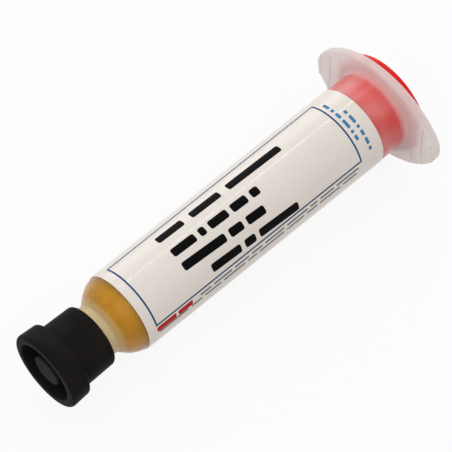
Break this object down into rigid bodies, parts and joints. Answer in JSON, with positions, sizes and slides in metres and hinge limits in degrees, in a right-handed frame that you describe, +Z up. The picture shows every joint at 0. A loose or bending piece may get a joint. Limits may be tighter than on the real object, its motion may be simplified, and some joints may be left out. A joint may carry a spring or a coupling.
{
  "type": "solder paste syringe",
  "caption": "Prefilled paste dispensing syringe lying on its side: lock outlet under a tip cap, translucent barrel with a label, oval finger flange and a rear end cap.",
  "frame": {"origin": "middle of the syringe's length and width, on the surface that it lies on", "axes": "+X from the tip cap towards the end cap, +Z up; the barrel's own axis climbs 2.20 degrees from the tip towards the flange, because it lies on the cap's lip and the flange's edge"},
  "size_m": [0.0986, 0.0352, 0.0252],
  "materials": {
    "natural_plastic": "natural polypropylene, see-through and slightly milky",
    "printed_label": "coated white label with a thin blue frame line",
    "amber_paste": "amber flux paste, smooth and waxy",
    "white_plastic": "moulded polyethylene, soft sheen",
    "black_plastic": "moulded black plastic, satin",
    "red_plastic": "moulded bright red plastic, glossy"
  },
  "bodies": {
    "barrel": {"barrel": "natural_plastic", "label": "printed_label", "flux_paste": "amber_paste"},
    "piston": {"piston": "white_plastic"},
    "tip_cap": {"tip_cap": "black_plastic"},
    "end_cap": {"end_cap": "red_plastic"}
  },
  "joints": [
    {"name": "piston_slide", "type": "slide", "parent": "barrel", "child": "piston", "axis": [-0.9993, 0, -0.0384], "range_m": [0, 0.046], "deforming": ["flux_paste"]},
    {"name": "tip_cap_pull", "type": "slide", "parent": "barrel", "child": "tip_cap", "axis": [-0.9993, 0, -0.0384], "range_m": [0, 0.022]},
    {"name": "end_cap_pull", "type": "slide", "parent": "barrel", "child": "end_cap", "axis": [0.9993, 0, 0.0384], "range_m": [0, 0.024]}
  ]
}
